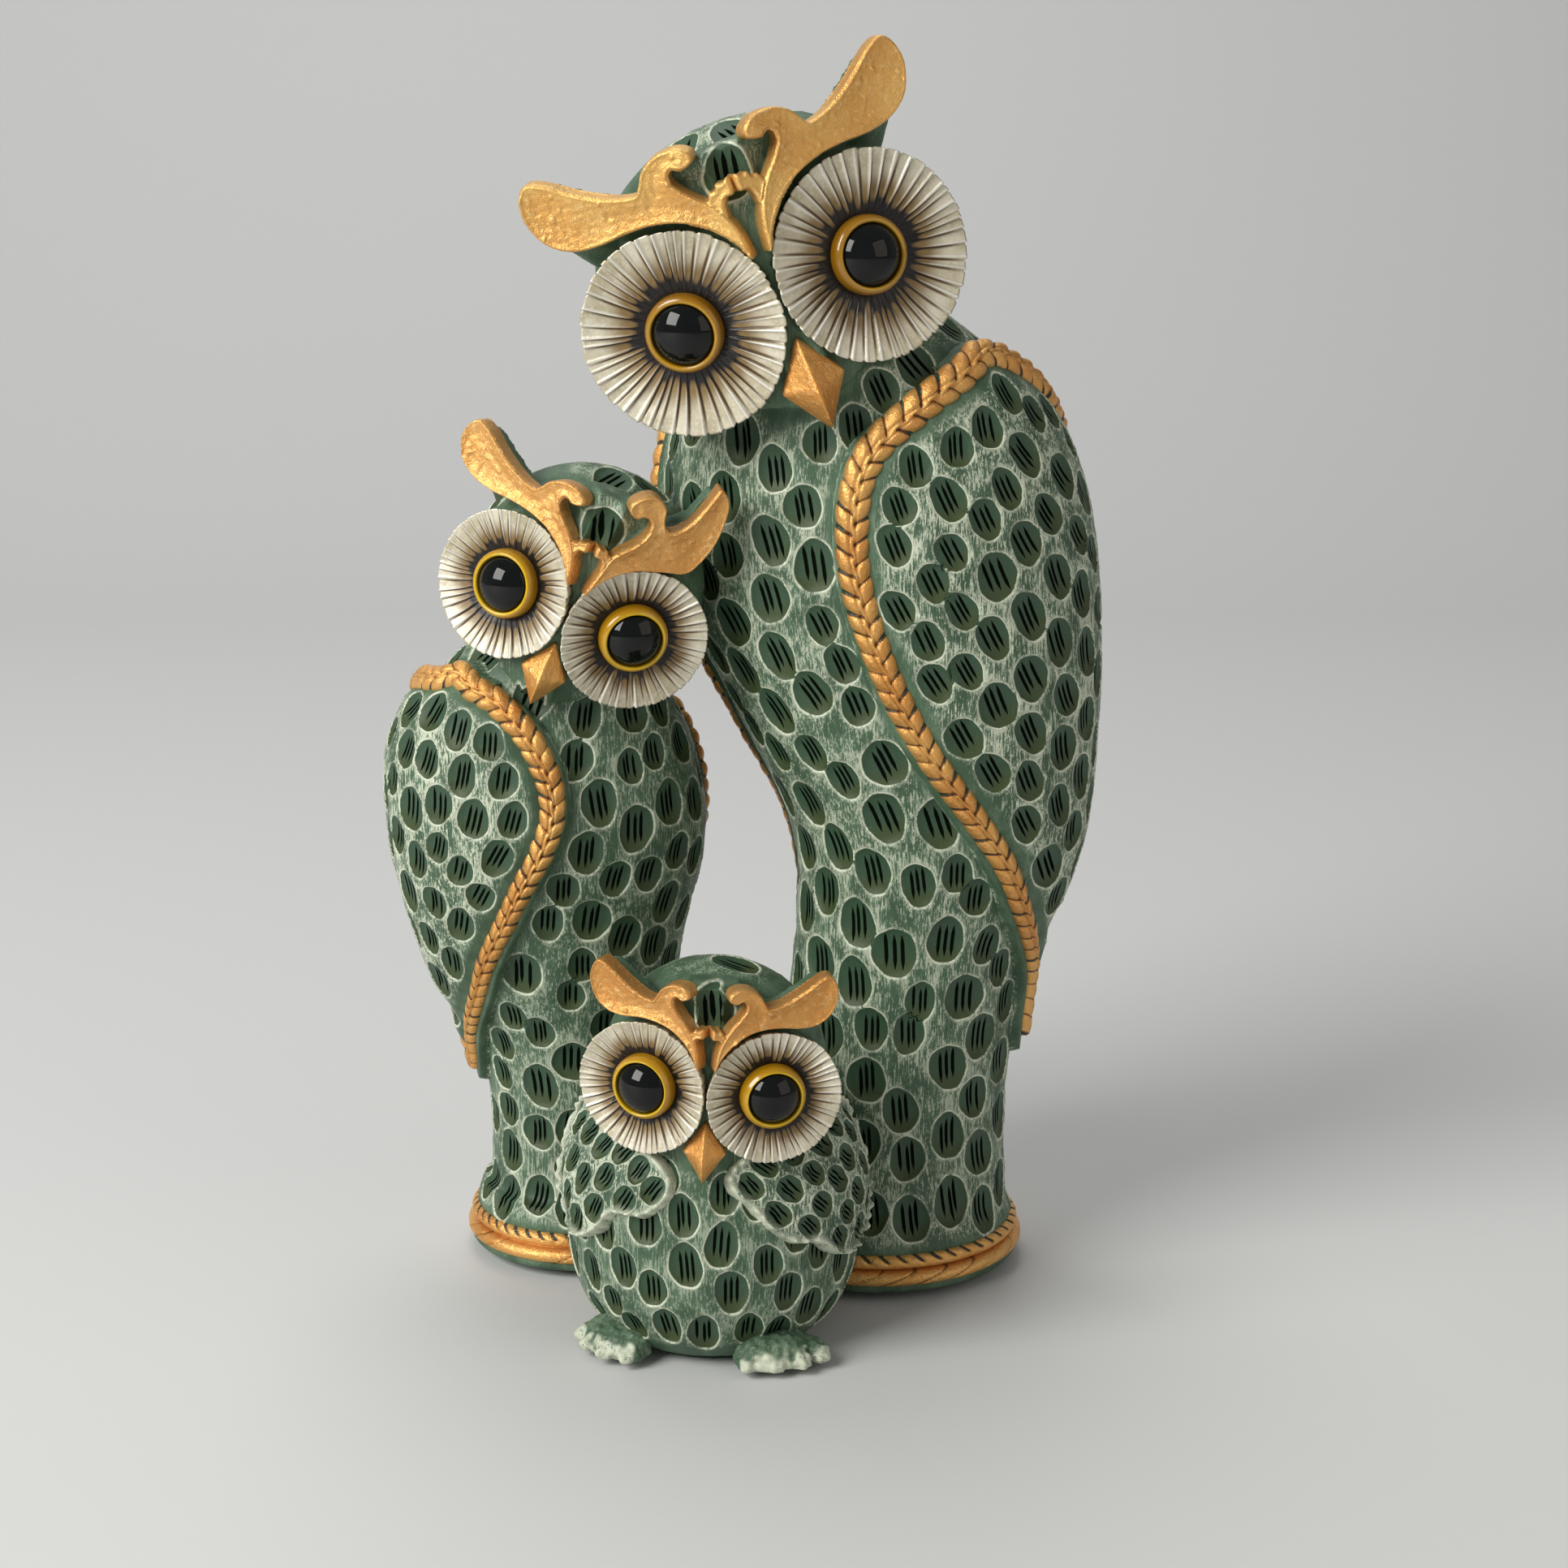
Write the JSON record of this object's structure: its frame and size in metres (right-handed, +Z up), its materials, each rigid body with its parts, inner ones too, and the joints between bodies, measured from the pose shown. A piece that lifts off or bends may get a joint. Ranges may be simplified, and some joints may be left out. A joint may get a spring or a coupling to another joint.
{
  "type": "owl family figurine",
  "caption": "Resin figurine of a huddled owl family: dimpled green bodies, silvered fluted eye discs, glossy doll's eyes, and gilt brow crests, beaks, wing braids and foot ropes.",
  "frame": {"origin": "centre of the bounding box's underside, on the surface the figurine stands on", "axes": "+Z up, the owls look towards -Y, +X to the right of someone facing them"},
  "size_m": [0.1418, 0.1073, 0.2439],
  "materials": {
    "green_paint": "matt deep green paint over filled resin, dry-brushed whitish green on the ridges",
    "gilt_paint": "satin copper-gold paint over filled resin",
    "silvered_paint": "satin silver-cream paint over filled resin, with a brown wash towards the eye",
    "iris": "glossy amber",
    "pupil": "polished black",
    "felt": "thin felt"
  },
  "bodies": {
    "root": {"large_casting": "green_paint", "large_felt_pad": "felt", "large_left_eye_disc": "silvered_paint", "large_left_iris_cup": "iris", "large_left_pupil_dome": "pupil", "large_left_brow_crest": "gilt_paint", "large_right_eye_disc": "silvered_paint", "large_right_iris_cup": "iris", "large_right_pupil_dome": "pupil", "large_right_brow_crest": "gilt_paint", "large_beak": "gilt_paint", "large_left_wing": "green_paint", "large_left_wing_braid": "gilt_paint", "large_right_wing": "green_paint", "large_right_wing_braid": "gilt_paint", "large_foot_rope": "gilt_paint", "middle_casting": "green_paint", "middle_felt_pad": "felt", "middle_left_eye_disc": "silvered_paint", "middle_left_iris_cup": "iris", "middle_left_pupil_dome": "pupil", "middle_left_brow_crest": "gilt_paint", "middle_right_eye_disc": "silvered_paint", "middle_right_iris_cup": "iris", "middle_right_pupil_dome": "pupil", "middle_right_brow_crest": "gilt_paint", "middle_beak": "gilt_paint", "middle_left_wing": "green_paint", "middle_left_wing_braid": "gilt_paint", "middle_right_wing": "green_paint", "middle_right_wing_braid": "gilt_paint", "middle_foot_rope": "gilt_paint", "owlet_casting": "green_paint", "owlet_felt_pad": "felt", "owlet_left_eye_disc": "silvered_paint", "owlet_left_iris_cup": "iris", "owlet_left_pupil_dome": "pupil", "owlet_left_brow_crest": "gilt_paint", "owlet_right_eye_disc": "silvered_paint", "owlet_right_iris_cup": "iris", "owlet_right_pupil_dome": "pupil", "owlet_right_brow_crest": "gilt_paint", "owlet_beak": "gilt_paint", "owlet_left_wing": "green_paint", "owlet_left_foot": "green_paint", "owlet_right_wing": "green_paint", "owlet_right_foot": "green_paint"}
  },
  "joints": []
}
